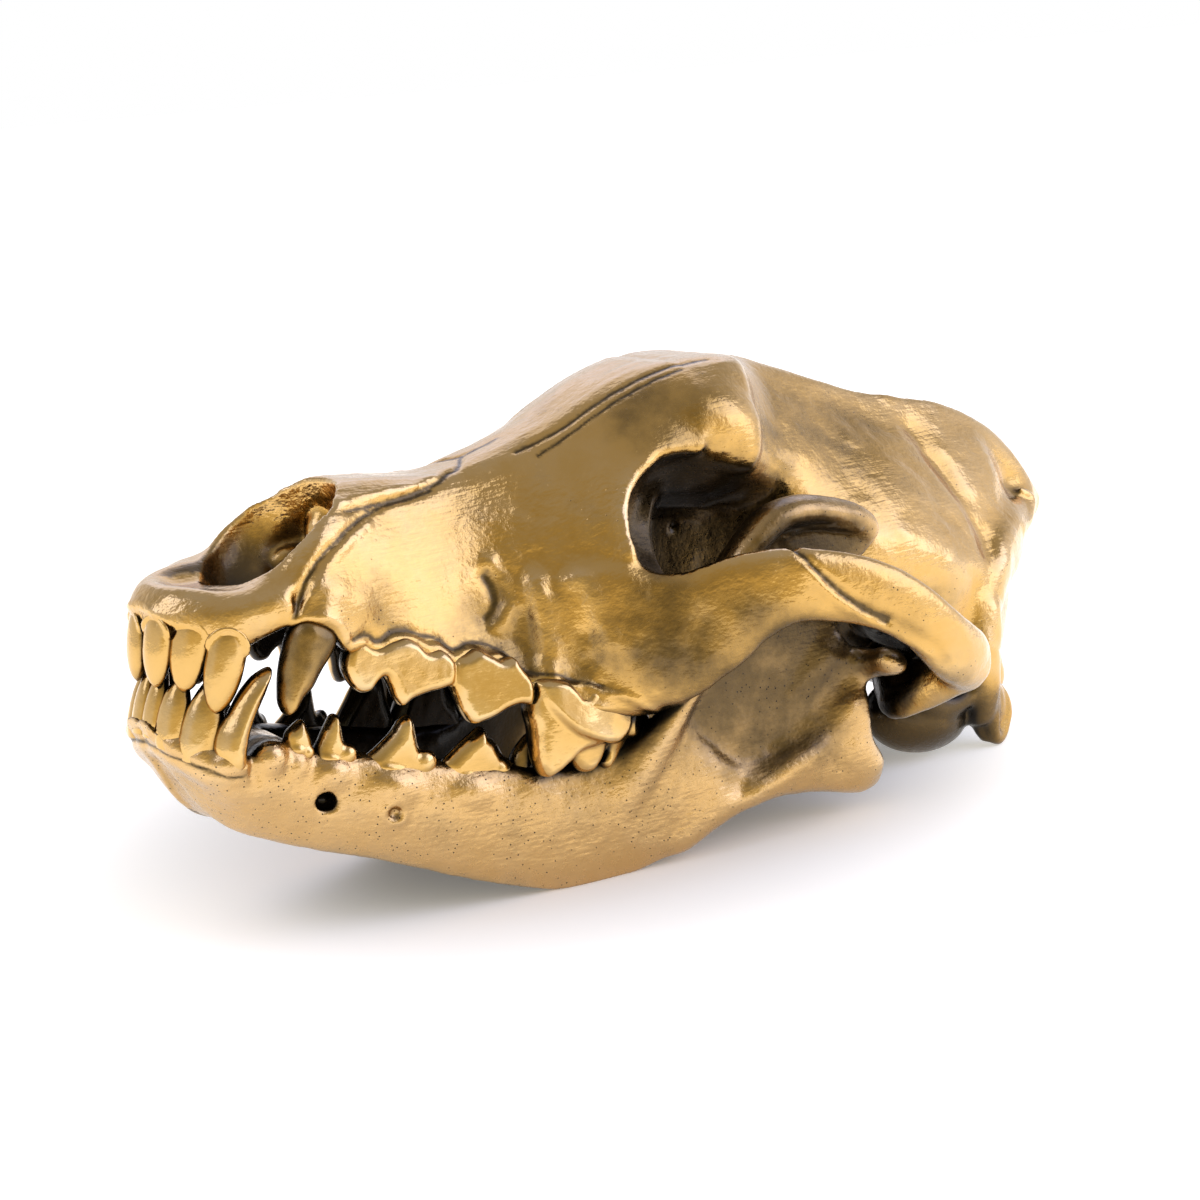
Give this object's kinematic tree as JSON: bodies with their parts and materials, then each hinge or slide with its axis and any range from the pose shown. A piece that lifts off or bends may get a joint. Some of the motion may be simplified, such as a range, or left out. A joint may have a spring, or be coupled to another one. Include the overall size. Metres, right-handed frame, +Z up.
{
  "type": "brass wolf skull sculpture",
  "caption": "Life-size cast brass sculpture of a wolf's skull, with separate closed lower jaw, sharp teeth, open eye sockets and wide cheek arches; rests on jaw and skull base.",
  "frame": {"origin": "centre of the bounding box on the plane that the skull rests on", "axes": "+X towards the back of the head, with the muzzle at -X; +Y towards the animal's right; +Z up"},
  "size_m": [0.284, 0.143, 0.1145],
  "materials": {
    "skull_brass": "polished cast brass with brown patina in the hollows",
    "jaw_brass": "satin, finely pitted cast brass"
  },
  "bodies": {
    "root": {"cranium": "skull_brass", "mandible": "jaw_brass"}
  },
  "joints": []
}
